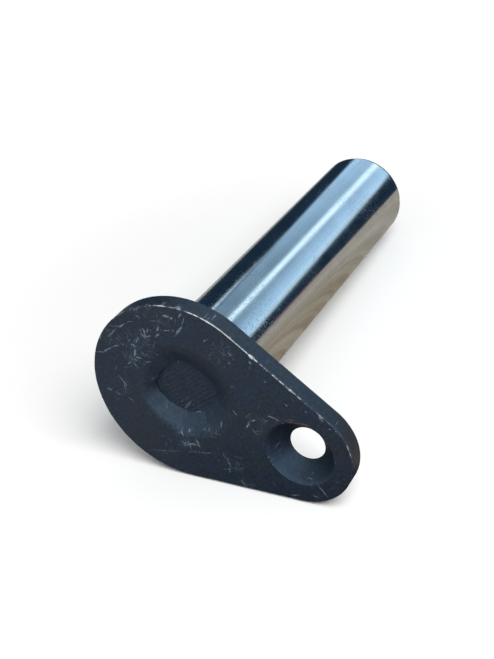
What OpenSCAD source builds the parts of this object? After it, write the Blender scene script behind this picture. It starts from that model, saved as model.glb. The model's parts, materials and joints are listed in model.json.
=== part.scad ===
// Cylinder pin: a ground shaft with a teardrop flag plate welded to its head end.
// The pin lies as it comes to rest, on the plate's lower flank and the shaft's far end.
// Each piece is drawn along +Z, with z = 0 on the plate's outer face and -Y up across the plate,
// and lay_down() places it.

/* [Shaft] */
// Diameter of the ground shaft
shaft_d = 40; // [34:0.5:56]
// Length from the plate's outer face to the shaft's far end
reach = 181; // [120:1:300]
// Length of the lead-in taper at the far end
lead_length = 2; // [0.8:0.1:6]
// How much the lead-in taper takes off the radius
lead_drop = 0.7; // [0.2:0.05:3]
// Depth of the shaft's end face below the plate's outer face
end_recess = 5.2; // [4.6:0.1:6.4]

/* [Flag plate] */
// Thickness of the plate
plate_t = 7.5; // [6.8:0.1:14]
// Diameter of the large lobe round the shaft
big_lobe_d = 72.5; // [66:0.5:100]
// Diameter of the small lobe round the retaining bolt's hole
small_lobe_d = 41; // [32:0.5:60]
// Distance between the two lobes' centres
lobe_pitch = 48; // [42:0.5:80]

/* [Retaining bolt hole] */
// Diameter of the hole for the retaining bolt
bolt_hole_d = 13.5; // [9:0.5:18]
// Diameter of the countersink at the plate's outer face
countersink_d = 26.4; // [20:0.2:30]
// Length of straight wall left under the countersink
bolt_land = 0.5; // [0.4:0.05:3]
// How far the hole lies beyond the small lobe's centre
hole_ahead = 0.6; // [-2:0.1:3]
// How far the hole lies above the line through both lobes' centres
hole_rise = 0.35; // [-2:0.05:2]

/* [Weld] */
// Width of the bevel round the plate's hole
bevel_w = 0.7; // [0.3:0.1:4]
// Depth of the bevel round the plate's hole
bevel_depth = 3; // [1:0.1:4.4]
// Width of the weld on the shaft's end face
weld_w = 9.1; // [4:0.1:12]
// Radius of the hollow across the weld's face
weld_hollow_r = 18; // [9:0.5:60]

/* [Fits] */
// How much more the shaft's radius is inside the plate's hole than along its ground length
seat_step = 0.25; // [0.15:0.05:1]
// Gap all round between the shaft's seat and the plate's hole
seat_gap = 0.05; // [0.02:0.01:0.2]

/* [Hidden] */
$fn = 96;
HOLLOW_STEPS = 10;
FLANK_INSET = 0.01;
DRILL_OVERRUN = 1;

shaft_r = shaft_d / 2;
seat_r = shaft_r + seat_step;
plate_hole_r = seat_r + seat_gap;
weld_mouth_r = plate_hole_r + bevel_w;
weld_toe_r = seat_r - weld_w;
big_lobe_r = big_lobe_d / 2;
small_lobe_r = small_lobe_d / 2;

// Each flank leaves the line of centres by this angle, so the roll brings the lower flank level
flank_angle = asin((big_lobe_r - small_lobe_r) / lobe_pitch);
flank_length = lobe_pitch * cos(flank_angle);

// The tilt brings the far end down to the surface that the lower flank's inner edge stands on
contact_span = reach - lead_length - plate_t;
rest_tilt = atan((big_lobe_r - shaft_r) / contact_span);

// Corners of the laid pin's box, measured from where the shaft's axis meets the outer face
box_left = -big_lobe_r;
box_right = flank_length + small_lobe_r;
box_front = -big_lobe_r * sin(rest_tilt);
box_back = reach * cos(rest_tilt) + (shaft_r - lead_drop) * sin(rest_tilt);
box_bottom = -plate_t * sin(rest_tilt) - big_lobe_r * cos(rest_tilt);

// Arc of the given radius from point a to point b, hollow towards the shaft's axis
function hollow_arc(a, b, r) =
    let (
        chord = norm(b - a),
        middle = (a + b) / 2,
        across = [-(b - a)[1], (b - a)[0]] / chord,
        centre = middle + across * sqrt(r * r - chord * chord / 4),
        start = atan2(a[1] - centre[1], a[0] - centre[0]),
        sweep = 2 * asin(chord / (2 * r))
    )
    [for (i = [0 : HOLLOW_STEPS]) centre + r * [cos(start + sweep * i / HOLLOW_STEPS),
                                                sin(start + sweep * i / HOLLOW_STEPS)]];

// Rolls the lower flank level, tips the far end down and centres the pin over its box
module lay_down() {
    translate([-(box_left + box_right) / 2, -(box_front + box_back) / 2, -box_bottom])
        rotate([-rest_tilt, 0, 0])
            rotate([0, flank_angle, 0])
                rotate([-90, 0, 0])
                    children();
}

// End of the upper flank at the lobe of radius r whose centre is x along the line of centres.
// It lies just inside the lobe, so that the flank crosses the lobe's edge cleanly.
function flank_end(x, r) = [x, 0] + (r - FLANK_INSET) * [sin(flank_angle), cos(flank_angle)];

function mirrored(p) = [p[0], -p[1]];

// Two round lobes and the web that runs along both
module plate_outline() {
    circle(big_lobe_r);
    translate([lobe_pitch, 0])
        circle(small_lobe_r);
    polygon([
        flank_end(0, big_lobe_r),
        mirrored(flank_end(0, big_lobe_r)),
        mirrored(flank_end(lobe_pitch, small_lobe_r)),
        flank_end(lobe_pitch, small_lobe_r)
    ]);
}

// Straight hole for the shaft, opened by a bevel that the weld fills
module shaft_hole() {
    bevel_slope = bevel_w / bevel_depth;
    rotate_extrude()
        polygon([
            [0, -DRILL_OVERRUN],
            [weld_mouth_r + bevel_slope * DRILL_OVERRUN, -DRILL_OVERRUN],
            [plate_hole_r, bevel_depth],
            [plate_hole_r, plate_t + DRILL_OVERRUN],
            [0, plate_t + DRILL_OVERRUN]
        ]);
}

// Cone from the outer face down to the straight land that locates the retaining bolt
module countersunk_hole() {
    countersink_r = countersink_d / 2;
    bolt_hole_r = bolt_hole_d / 2;
    cone_slope = (countersink_r - bolt_hole_r) / (plate_t - bolt_land);
    rotate_extrude()
        polygon([
            [0, -DRILL_OVERRUN],
            [countersink_r + cone_slope * DRILL_OVERRUN, -DRILL_OVERRUN],
            [bolt_hole_r, plate_t - bolt_land],
            [bolt_hole_r, plate_t + DRILL_OVERRUN],
            [0, plate_t + DRILL_OVERRUN]
        ]);
}

module shaft() {
    color([0.60, 0.70, 0.80])
        lay_down()
            rotate_extrude()
                polygon([
                    [0, end_recess],
                    [seat_r, end_recess],
                    [seat_r, plate_t],
                    [shaft_r, plate_t],
                    [shaft_r, reach - lead_length],
                    [shaft_r - lead_drop, reach],
                    [0, reach]
                ]);
}

module flag_plate() {
    color([0.17, 0.20, 0.25])
        lay_down()
            difference() {
                linear_extrude(height = plate_t)
                    plate_outline();
                shaft_hole();
                translate([lobe_pitch + hole_ahead, -hole_rise, 0])
                    countersunk_hole();
            }
}

module weld() {
    toe = [weld_toe_r, end_recess];
    mouth = [weld_mouth_r, 0];
    color([0.20, 0.24, 0.31])
        lay_down()
            rotate_extrude()
                polygon(concat(
                    [[plate_hole_r, end_recess]],
                    [[plate_hole_r, bevel_depth]],
                    hollow_arc(mouth, toe, weld_hollow_r)
                ));
}

shaft();
flag_plate();
weld();
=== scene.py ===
import json
import math
import random

import bmesh
import bpy
from bpy.props import FloatProperty, FloatVectorProperty, PointerProperty
from mathutils import Matrix, Vector


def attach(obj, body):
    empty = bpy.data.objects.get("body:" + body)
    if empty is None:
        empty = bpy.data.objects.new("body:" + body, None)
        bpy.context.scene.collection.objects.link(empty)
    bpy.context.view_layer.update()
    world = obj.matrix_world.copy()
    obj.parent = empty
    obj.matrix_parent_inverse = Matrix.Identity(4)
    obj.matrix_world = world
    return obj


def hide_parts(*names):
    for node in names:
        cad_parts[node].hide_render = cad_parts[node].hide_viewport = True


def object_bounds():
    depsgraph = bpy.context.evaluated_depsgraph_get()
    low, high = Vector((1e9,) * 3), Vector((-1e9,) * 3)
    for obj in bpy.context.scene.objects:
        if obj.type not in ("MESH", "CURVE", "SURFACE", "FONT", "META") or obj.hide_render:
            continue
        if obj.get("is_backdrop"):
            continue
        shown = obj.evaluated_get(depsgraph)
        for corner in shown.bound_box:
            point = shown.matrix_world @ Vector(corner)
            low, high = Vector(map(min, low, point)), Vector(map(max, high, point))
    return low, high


bl_info = {
    "name": "Welded flag pin",
    "version": (1, 0, 0),
    "blender": (4, 5, 0),
    "location": "3D View > Sidebar > Flag Pin",
    "description": "Dresses a ground pin with a welded flag plate and sets it in a plain studio",
    "category": "Add Mesh",
}

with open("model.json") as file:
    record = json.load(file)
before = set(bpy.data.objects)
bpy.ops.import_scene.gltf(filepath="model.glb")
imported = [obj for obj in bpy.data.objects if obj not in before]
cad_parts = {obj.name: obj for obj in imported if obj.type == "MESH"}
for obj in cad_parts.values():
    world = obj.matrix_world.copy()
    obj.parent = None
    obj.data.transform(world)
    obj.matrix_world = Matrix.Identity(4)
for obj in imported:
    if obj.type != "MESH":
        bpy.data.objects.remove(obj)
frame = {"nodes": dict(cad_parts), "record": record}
CAD_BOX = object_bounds()
MM = 0.001


def mount(name):
    """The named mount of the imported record."""
    return next(m for m in frame["record"]["mounts"] if m["name"] == name)


def span(node, origin, direction):
    """How far the solid of that name reaches along a direction from an origin: lowest and highest."""
    reaches = [(v.co - origin).dot(direction) for v in frame["nodes"][node].data.vertices]
    return min(reaches), max(reaches)


# The pin's own frame: X towards the small lobe, Y into the part along the shaft, Z up across the plate
PIN = mount("pin")
BOLT_HOLE = mount("retaining_bolt_hole")
INNER_FACE = mount("plate_inner_face")
AXIS = Vector(PIN["axis"]).normalized()
AXIS_POINT = Vector(PIN["pos_m"])
ABOVE = Vector(INNER_FACE["pos_m"]) - AXIS_POINT
UPRIGHT = (ABOVE - AXIS * ABOVE.dot(AXIS)).normalized()
ACROSS = AXIS.cross(UPRIGHT)
ORIGIN = AXIS_POINT + AXIS * span("flag_plate", AXIS_POINT, AXIS)[0]
LAID = Matrix.Translation(ORIGIN) @ Matrix((ACROSS, AXIS, UPRIGHT)).transposed().to_4x4()

# Sizes of the solids, measured in that frame
SHAFT_R = PIN["dims"]["r_mm"] * MM
BOLT_R = BOLT_HOLE["dims"]["r_mm"] * MM
BOLT_LAND = BOLT_HOLE["dims"]["length_mm"] * MM
PLATE_T = span("flag_plate", ORIGIN, AXIS)[1]
END_RECESS, REACH = span("shaft", ORIGIN, AXIS)
SEAT_R = span("shaft", ORIGIN, ACROSS)[1]
# Depth in the plate's hole at which the weld and the flare to its lip meet the wall
WALL_TOP = PLATE_T * 0.4

# Distance between the centres of the plate's two lobes, which the frame doesn't give
LOBE_PITCH = 48 * MM
BIG_LOBE_R = -span("flag_plate", ORIGIN, ACROSS)[0]
SMALL_LOBE_R = span("flag_plate", ORIGIN, ACROSS)[1] - LOBE_PITCH

# Centres of the plate's two holes, across and up
BOLT_PLACE = Vector(BOLT_HOLE["pos_m"]) - ORIGIN
ON_BOLT = (BOLT_PLACE.dot(ACROSS), BOLT_PLACE.dot(UPRIGHT))
ON_SHAFT = (0.0, 0.0)


class FlagPinShape(bpy.types.PropertyGroup):
    """Sizes of the details that the dressed pieces add to the solids"""
    lead_length: FloatProperty(
        name="Lead-in length", description="Length of the taper at the shaft's far end",
        default=2.0 * MM, unit="LENGTH", precision=5)
    lead_drop: FloatProperty(
        name="Lead-in drop", description="How much the taper takes off the shaft's radius",
        default=0.7 * MM, unit="LENGTH", precision=5)
    lead_round: FloatProperty(
        name="Lead-in rounding", description="Radius that softens the taper's two corners",
        default=0.3 * MM, unit="LENGTH", precision=5)
    skin: FloatProperty(
        name="Skin", description="How far the worn plate stays inside the sharp solid",
        default=0.02 * MM, unit="LENGTH", precision=5)
    edge_round: FloatProperty(
        name="Outer edge rounding", description="Radius worn on the plate's outer edge",
        default=0.36 * MM, unit="LENGTH", precision=5)
    back_round: FloatProperty(
        name="Inner edge rounding", description="Radius of the plate's inner edge",
        default=0.4 * MM, unit="LENGTH", precision=5)
    mouth_round: FloatProperty(
        name="Countersink rounding", description="Radius at the countersink's mouth",
        default=0.35 * MM, unit="LENGTH", precision=5)
    countersink_r: FloatProperty(
        name="Countersink radius", description="Radius of the countersink at the outer face",
        default=13.2 * MM, unit="LENGTH", precision=5)
    lip_r: FloatProperty(
        name="Weld lip radius", description="Mean radius at which the weld runs out into the face",
        default=20.4 * MM, unit="LENGTH", precision=5)
    lip_shift: FloatProperty(
        name="Weld lip shift", description="How far the weld's lip lies off the shaft's axis",
        default=3.0 * MM, unit="LENGTH", precision=5)
    lip_ridge: FloatProperty(
        name="Weld lip ridge", description="Height of the faint ridges round the weld's upper side",
        default=0.12 * MM, unit="LENGTH", precision=5)
    toe_r: FloatProperty(
        name="Weld toe radius", description="Mean radius of the bare part of the shaft's end face",
        default=11.3 * MM, unit="LENGTH", precision=5)
    toe_wave: FloatProperty(
        name="Weld toe wave", description="How far the weld's toe leaves a true circle",
        default=0.7 * MM, unit="LENGTH", precision=5)
    toe_step: FloatProperty(
        name="Weld toe step", description="Height of the step at the toe on its unfused side",
        default=1.7 * MM, unit="LENGTH", precision=5)


class FlagPinFinish(bpy.types.PropertyGroup):
    """Colours of the steel, of its coating and of what shows through where it is worn"""
    steel: FloatVectorProperty(
        name="Ground steel", description="Colour of the ground shaft",
        default=(0.56, 0.60, 0.63), subtype="COLOR", min=0.0, max=1.0)
    coating: FloatVectorProperty(
        name="Coating", description="Dark blue-grey coating of the plate",
        default=(0.0165, 0.0265, 0.0435), subtype="COLOR", min=0.0, max=1.0)
    coating_warm: FloatVectorProperty(
        name="Coating, thin", description="Greyer tone where the coating is thin",
        default=(0.0215, 0.0262, 0.0340), subtype="COLOR", min=0.0, max=1.0)
    bare: FloatVectorProperty(
        name="Bare edge", description="Worn steel along the edges",
        default=(0.60, 0.59, 0.57), subtype="COLOR", min=0.0, max=1.0)
    scuff: FloatVectorProperty(
        name="Scuff", description="Rubbed coating in the scuffs",
        default=(0.25, 0.32, 0.40), subtype="COLOR", min=0.0, max=1.0)
    rust: FloatVectorProperty(
        name="Rust bloom", description="Brown tone on the worn rims",
        default=(0.21, 0.15, 0.115), subtype="COLOR", min=0.0, max=1.0)


class FlagPinStudio(bpy.types.PropertyGroup):
    """The plain studio round the pin"""
    floor: FloatVectorProperty(
        name="Floor", description="Colour of the pale floor",
        default=(0.96, 0.96, 0.96), subtype="COLOR", min=0.0, max=1.0)
    floor_bounce: FloatVectorProperty(
        name="Floor bounce", description="Colour of the light that the floor throws back on the pin",
        default=(0.28, 0.28, 0.29), subtype="COLOR", min=0.0, max=1.0)
    floor_glow: FloatProperty(
        name="Floor glow", description="How much the floor adds of its own near the pin",
        default=0.0, min=0.0, max=1.0)
    far_glow: FloatProperty(
        name="Far floor glow", description="How much the floor adds of its own away from the pin",
        default=0.62, min=0.0, max=1.0)
    ambient: FloatProperty(
        name="Ambient light", description="Strength of the even light from all round",
        default=0.45, min=0.0, max=2.0)
    key: FloatProperty(
        name="Key light", description="Power of the broad lamp above",
        default=10.0, min=0.0, max=100.0, unit="POWER")
    sky: FloatVectorProperty(
        name="Sky card", description="Colour that the steel mirrors from above",
        default=(0.575, 0.89, 1.19), subtype="COLOR", min=0.0, max=4.0)
    streak: FloatVectorProperty(
        name="Bright streak", description="Colour of the bright strip in the sky card",
        default=(1.36, 1.74, 1.90), subtype="COLOR", min=0.0, max=4.0)
    bench_edge: FloatVectorProperty(
        name="Bench edge", description="Red band on the far edge of the mirrored bench",
        default=(0.38, 0.22, 0.25), subtype="COLOR", min=0.0, max=2.0)
    bench_near: FloatVectorProperty(
        name="Bench, near side", description="Tone of the bench that the coated face mirrors",
        default=(0.36, 0.37, 0.40), subtype="COLOR", min=0.0, max=2.0)
    open_ground: FloatVectorProperty(
        name="Open ground", description="Blue tone of the ground behind the viewer",
        default=(0.60, 0.90, 1.20), subtype="COLOR", min=0.0, max=4.0)
    bench_side: FloatVectorProperty(
        name="Bench, left side", description="Tone of the bench to the shaft's left",
        default=(0.42, 0.42, 0.40), subtype="COLOR", min=0.0, max=2.0)
    bench_far: FloatVectorProperty(
        name="Bench, far side", description="Paler tone of the bench towards its far edge",
        default=(0.62, 0.59, 0.53), subtype="COLOR", min=0.0, max=2.0)
    back_sky: FloatVectorProperty(
        name="Sky behind", description="Colour of the sky card behind the viewer",
        default=(1.05, 1.80, 2.50), subtype="COLOR", min=0.0, max=4.0)
    horizon: FloatVectorProperty(
        name="Low sky", description="Whiter tone of the sky card just above the dark surround",
        default=(0.88, 1.14, 1.26), subtype="COLOR", min=0.0, max=4.0)
    dusk: FloatVectorProperty(
        name="Dark surround", description="Colour that the steel mirrors from the sides",
        default=(0.014, 0.032, 0.059), subtype="COLOR", min=0.0, max=2.0)
    bench_light: FloatVectorProperty(
        name="Bench, light grain", description="Light grain of the bench that the steel mirrors",
        default=(0.51, 0.44, 0.345), subtype="COLOR", min=0.0, max=2.0)
    bench_dark: FloatVectorProperty(
        name="Bench, dark grain", description="Dark grain of the bench that the steel mirrors",
        default=(0.35, 0.285, 0.20), subtype="COLOR", min=0.0, max=2.0)


# Meshes

LOBE_STEPS = 72
FLANK_STEPS = 48
ROUND_STEPS = 5
DISH_STEPS = 28
SHAFT_STEPS = 12
TURN_STEPS = 192
TURNS = [2 * math.pi * i / TURN_STEPS for i in range(TURN_STEPS)]
# Distance from a rounded edge to the ring that keeps the face beside it flat
SUPPORT = 0.3 * MM
# Edges that turn more than this stay sharp
SHARP_ANGLE = math.radians(32)


def even(value):
    """The same value at every turn."""
    return [value] * TURN_STEPS


def link_object(name, data):
    """A new object in the scene that shows a mesh, a camera or a lamp."""
    item = bpy.data.objects.new(name, data)
    bpy.context.scene.collection.objects.link(item)
    return item


class RingMesh:
    """A mesh of closed rings of points in the pin's own frame, each point with its share of edge wear, which
    on the weld's toe is a painted highlight.
    """

    def __init__(self):
        self.work = bmesh.new()
        self.wear = self.work.verts.layers.float.new("edge")

    def ring(self, places, wears):
        """A ring through the given places."""
        verts = [self.work.verts.new(place) for place in places]
        for vert, share in zip(verts, wears):
            vert[self.wear] = share
        return verts

    def circle(self, centre, radii, depths, wears=even(0.0)):
        """A ring round a hole's centre, with a radius, a depth and a share of wear for each turn."""
        places = [(centre[0] + radius * math.cos(turn), depth, centre[1] + radius * math.sin(turn))
                  for turn, radius, depth in zip(TURNS, radii, depths)]
        return self.ring(places, wears)

    def sleeve(self, rings):
        """Faces from each ring to the next."""
        for first, second in zip(rings, rings[1:]):
            for i in range(len(first)):
                after = (i + 1) % len(first)
                self.work.faces.new((first[i], first[after], second[after], second[i]))

    def cap(self, ring, depth):
        """Closes a ring round the shaft's axis with a fan of faces."""
        middle = self.work.verts.new((0.0, depth, 0.0))
        for i in range(len(ring)):
            self.work.faces.new((middle, ring[(i + 1) % len(ring)], ring[i]))

    def fill(self, rings):
        """Closes the flat face between an outer ring and the rings of the holes in it."""
        edges = []
        for ring in rings:
            edges += [self.work.edges.get((ring[i], ring[(i + 1) % len(ring)])) for i in range(len(ring))]
        bmesh.ops.triangle_fill(self.work, use_beauty=True, use_dissolve=False, edges=edges)

    def to_piece(self, name):
        """Turns all faces outwards, keeps only true corners sharp and lays the mesh where the solids are."""
        self.work.normal_update()
        bmesh.ops.recalc_face_normals(self.work, faces=self.work.faces)
        for face in self.work.faces:
            face.smooth = True
        for edge in self.work.edges:
            edge.smooth = not (edge.is_manifold and edge.calc_face_angle() > SHARP_ANGLE)
        bmesh.ops.transform(self.work, matrix=LAID, verts=self.work.verts)
        mesh = bpy.data.meshes.new(name)
        self.work.to_mesh(mesh)
        self.work.free()
        return link_object(name, mesh)


def rounded_corner(before, corner, after, radius):
    """The arc that takes the place of a corner between two straight stretches."""
    into = (Vector(before) - Vector(corner)).normalized()
    out = (Vector(after) - Vector(corner)).normalized()
    half = into.angle(out) / 2
    setback = radius / math.tan(half)
    centre = Vector(corner) + (into + out).normalized() * (radius / math.sin(half))
    start = Vector(corner) + into * setback - centre
    end = Vector(corner) + out * setback - centre
    turn = start.angle(end)
    arc = []
    for i in range(ROUND_STEPS + 1):
        share = i / ROUND_STEPS
        weight_start = math.sin((1 - share) * turn) / math.sin(turn)
        weight_end = math.sin(share * turn) / math.sin(turn)
        arc.append(centre + start * weight_start + end * weight_end)
    return arc


def teardrop(inset):
    """Points round the plate's outline, moved inwards by inset."""
    slant = math.asin((BIG_LOBE_R - SMALL_LOBE_R) / LOBE_PITCH)
    meet = math.pi / 2 - slant
    big = BIG_LOBE_R - inset
    small = SMALL_LOBE_R - inset
    outline = []
    for i in range(LOBE_STEPS + 1):
        angle = meet + (2 * math.pi - 2 * meet) * i / LOBE_STEPS
        outline.append((big * math.cos(angle), big * math.sin(angle)))
    flank = []
    for i in range(1, FLANK_STEPS):
        share = i / FLANK_STEPS
        radius = big + (small - big) * share
        flank.append((LOBE_PITCH * share + radius * math.cos(meet), radius * math.sin(meet)))
    outline += [(x, -z) for x, z in flank]
    for i in range(LOBE_STEPS + 1):
        angle = -meet + 2 * meet * i / LOBE_STEPS
        outline.append((LOBE_PITCH + small * math.cos(angle), small * math.sin(angle)))
    outline += reversed(flank)
    return outline


def lip_radius(shape, angle):
    """Distance from the shaft's axis to the weld's outer lip, which is set off up and to the right."""
    shift = shape.lip_shift * math.cos(angle - math.radians(45))
    waver = 0.35 * math.sin(3 * angle + 0.6) + 0.2 * math.sin(5 * angle + 2.1)
    return shape.lip_r + shift + waver * MM


def toe_radius(shape, angle):
    """Distance from the shaft's axis to the weld's inner toe."""
    oval = shape.toe_wave * math.cos(2 * (angle - math.radians(14)))
    corners = 0.47 * math.cos(3 * angle + math.radians(15)) + 0.5 * math.cos(4 * angle - 1.83)
    waver = 0.14 * math.sin(9 * angle + 0.9) + 0.08 * math.sin(17 * angle)
    return shape.toe_r + oval + (corners + waver) * MM


def bump_at(angle, centre, width):
    """1 at the centre, in degrees round the shaft, fading to 0 over the width."""
    away = math.remainder(angle - math.radians(centre), 2 * math.pi)
    return math.exp(-(away / math.radians(width)) ** 2)


def unfused(angle):
    """Close to 1 on the side where the weld's toe overhangs the end face, with two deeper notches."""
    return 0.8 * bump_at(angle, 160, 44) + 0.5 * bump_at(angle, 194, 9) + 0.4 * bump_at(angle, 124, 5)


# Nodes

def add(tree, kind, links=None, **settings):
    """A node with its settings, whose inputs are linked to sockets or set to values."""
    node = tree.nodes.new(kind)
    for label, value in settings.items():
        setattr(node, label, value)
    for label, value in (links or {}).items():
        socket = node.inputs[label]
        if isinstance(value, bpy.types.NodeSocket):
            tree.links.new(value, socket)
        else:
            socket.default_value = (*value, 1.0)[:4] if socket.type == "RGBA" else value
    return node


def math_node(tree, operation, first, second=0.0, third=0.0):
    """The result of one sum on values or sockets."""
    return add(tree, "ShaderNodeMath", {0: first, 1: second, 2: third}, operation=operation).outputs[0]


def plus(tree, first, second):
    return math_node(tree, "ADD", first, second)


def minus(tree, first, second):
    return math_node(tree, "SUBTRACT", first, second)


def times(tree, first, second):
    return math_node(tree, "MULTIPLY", first, second)


def larger(tree, first, second):
    return math_node(tree, "MAXIMUM", first, second)


def away_from(tree, value, middle):
    """How far the value is from the middle, to either side."""
    return math_node(tree, "ABSOLUTE", minus(tree, value, middle))


def scaled(tree, vector, amount):
    """The colour or the vector times an amount."""
    node = add(tree, "ShaderNodeVectorMath", {0: vector, "Scale": amount}, operation="SCALE")
    return node.outputs[0]


def object_place(tree):
    """The place on the object that is shaded."""
    return tree.nodes.new("ShaderNodeTexCoord").outputs["Object"]


def split(tree, vector):
    """The vector's parts, by the names X, Y and Z."""
    return add(tree, "ShaderNodeSeparateXYZ", {0: vector}).outputs


def ramp(tree, value, low, high, bottom=0.0, top=1.0):
    """A smooth step from bottom to top while value goes from low to high."""
    node = add(tree, "ShaderNodeMapRange",
               {"Value": value, "From Min": low, "From Max": high, "To Min": bottom, "To Max": top},
               interpolation_type="SMOOTHSTEP")
    return node.outputs["Result"]


def angle_ramp(tree, angle, low, high, bottom=0.0, top=1.0):
    """The same step over an angle, between two bounds in degrees."""
    return ramp(tree, angle, math.radians(low), math.radians(high), bottom, top)


def blend_colour(tree, share, first, second):
    """Goes from the first colour to the second as share goes from 0 to 1."""
    return add(tree, "ShaderNodeMix", {0: share, 6: first, 7: second}, data_type="RGBA").outputs[2]


def noise(tree, vector, scale, detail=3.0, roughness=0.5, output="Fac"):
    """Noise of the given scale over a vector."""
    node = add(tree, "ShaderNodeTexNoise",
               {"Vector": vector, "Scale": scale, "Detail": detail, "Roughness": roughness})
    return node.outputs[output]


def stretched(tree, vector, scale, turn=(0.0, 0.0, 0.0)):
    """The vector turned and scaled by a different amount along each axis."""
    node = add(tree, "ShaderNodeMapping", {"Vector": vector, "Rotation": turn, "Scale": scale})
    return node.outputs["Vector"]


def new_group(name, inputs, outputs):
    """An empty shader node group with named sockets: its tree, its inputs and its output node."""
    tree = bpy.data.node_groups.new(name, "ShaderNodeTree")
    for label, kind, default in inputs:
        socket = tree.interface.new_socket(name=label, in_out="INPUT", socket_type=kind)
        if default is not None:
            socket.default_value = default
    for label, kind in outputs:
        tree.interface.new_socket(name=label, in_out="OUTPUT", socket_type=kind)
    entry = tree.nodes.new("NodeGroupInput")
    result = tree.nodes.new("NodeGroupOutput")
    return tree, entry.outputs, result


def use_group(tree, name, links):
    """Places a node group in a material with its own values."""
    return add(tree, "ShaderNodeGroup", links, node_tree=bpy.data.node_groups[name]).outputs


def build_coating_group():
    """Mottled satin coating: colour, roughness and fine height."""
    tree, given, result = new_group(
        "coating",
        [("Vector", "NodeSocketVector", None), ("Colour", "NodeSocketColor", None),
         ("Thin Colour", "NodeSocketColor", None), ("Mottle", "NodeSocketFloat", 0.6),
         ("Roughness", "NodeSocketFloat", 0.45)],
        [("Colour", "NodeSocketColor"), ("Roughness", "NodeSocketFloat"), ("Height", "NodeSocketFloat")])
    broad = noise(tree, given["Vector"], 55.0, 4.0, 0.6)
    patches = ramp(tree, broad, 0.42, 0.62)
    thin = times(tree, patches, given["Mottle"])
    base = blend_colour(tree, thin, given["Colour"], given["Thin Colour"])
    speckle = noise(tree, given["Vector"], 900.0, 3.0, 0.65)
    shade = ramp(tree, speckle, 0.3, 0.72, 0.70, 1.42)
    lit = add(tree, "ShaderNodeVectorMath", {0: base, 1: shade}, operation="MULTIPLY").outputs[0]
    satin = ramp(tree, noise(tree, given["Vector"], 180.0, 4.0, 0.6), 0.25, 0.75, -0.08, 0.1)
    pits = noise(tree, given["Vector"], 1500.0, 4.0, 0.6)
    tree.links.new(lit, result.inputs["Colour"])
    tree.links.new(plus(tree, given["Roughness"], satin), result.inputs["Roughness"])
    tree.links.new(pits, result.inputs["Height"])


def build_scratch_group():
    """Short hairline scratches in several directions: a mask."""
    tree, given, result = new_group(
        "hairlines",
        [("Vector", "NodeSocketVector", None), ("Scale", "NodeSocketFloat", 1.0),
         ("Amount", "NodeSocketFloat", 0.5)],
        [("Mask", "NodeSocketFloat")])
    sized = scaled(tree, given["Vector"], given["Scale"])
    total = 0.0
    for turn, offset in ((0.35, 0.0), (1.25, 3.1), (2.3, 7.7)):
        moved = add(tree, "ShaderNodeMapping",
                    {"Vector": sized, "Rotation": (0.0, turn, 0.0),
                     "Location": (offset, offset, offset)}).outputs[0]
        long = stretched(tree, moved, (70.0, 70.0, 1700.0))
        line = ramp(tree, noise(tree, long, 1.0, 1.0, 0.4), 0.70, 0.76)
        place = ramp(tree, noise(tree, moved, 160.0, 2.0), 0.56, 0.66)
        total = larger(tree, times(tree, line, place), total)
    tree.links.new(times(tree, total, given["Amount"]), result.inputs["Mask"])


def build_wear_group():
    """Bare metal along a worn edge, ragged and broken, which on the weld's toe serves as a painted highlight:
    a mask.
    """
    tree, given, result = new_group(
        "edge wear",
        [("Vector", "NodeSocketVector", None), ("Edge", "NodeSocketFloat", 0.0),
         ("Amount", "NodeSocketFloat", 0.5)],
        [("Mask", "NodeSocketFloat")])
    ragged = noise(tree, given["Vector"], 620.0, 4.0, 0.65)
    broken = noise(tree, given["Vector"], 110.0, 2.0, 0.5)
    cover = plus(tree, times(tree, ragged, 1.3), times(tree, broken, 0.9))
    reach = plus(tree, given["Edge"], plus(tree, cover, given["Amount"]))
    gate = ramp(tree, given["Edge"], 0.04, 0.25)
    tree.links.new(times(tree, ramp(tree, reach, 1.60, 1.95), gate), result.inputs["Mask"])


def build_stroke_group():
    """Scattered short scratches, each turned its own way: a mask."""
    tree, given, result = new_group(
        "strokes",
        [("Vector", "NodeSocketVector", None), ("Cells", "NodeSocketFloat", 500.0),
         ("Length", "NodeSocketFloat", 1.0 * MM), ("Width", "NodeSocketFloat", 0.3 * MM),
         ("Share", "NodeSocketFloat", 0.5)],
        [("Mask", "NodeSocketFloat")])
    parts = split(tree, given["Vector"])
    flat = add(tree, "ShaderNodeCombineXYZ", {"X": parts["X"], "Y": parts["Z"]}).outputs[0]
    cells = add(tree, "ShaderNodeTexVoronoi", {"Vector": flat, "Scale": given["Cells"]},
                voronoi_dimensions="2D", feature="F1")
    chance = add(tree, "ShaderNodeSeparateColor", {0: cells.outputs["Color"]}).outputs
    local = add(tree, "ShaderNodeVectorMath", {0: flat, 1: cells.outputs["Position"]}, operation="SUBTRACT")
    own_way = times(tree, chance["Red"], 2 * math.pi)
    turned = add(tree, "ShaderNodeVectorRotate", {"Vector": local.outputs[0], "Angle": own_way},
                 rotation_type="Z_AXIS")
    along = split(tree, turned.outputs[0])
    shake = minus(tree, noise(tree, given["Vector"], 700.0, 2.0), 0.5)
    side = math_node(tree, "MULTIPLY_ADD", shake, 1.2 * MM, along["Y"])
    far = math_node(tree, "DIVIDE", along["X"], given["Length"])
    wide = math_node(tree, "DIVIDE", side, given["Width"])
    squares = math_node(tree, "MULTIPLY_ADD", far, far, times(tree, wide, wide))
    stroke = ramp(tree, math_node(tree, "SQRT", squares), 0.45, 1.0, 1.0, 0.0)
    there = ramp(tree, minus(tree, given["Share"], chance["Green"]), 0.0, 0.06)
    flakes = ramp(tree, noise(tree, given["Vector"], 1500.0, 3.0, 0.6), 0.34, 0.52)
    tree.links.new(times(tree, times(tree, stroke, there), flakes), result.inputs["Mask"])


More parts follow.
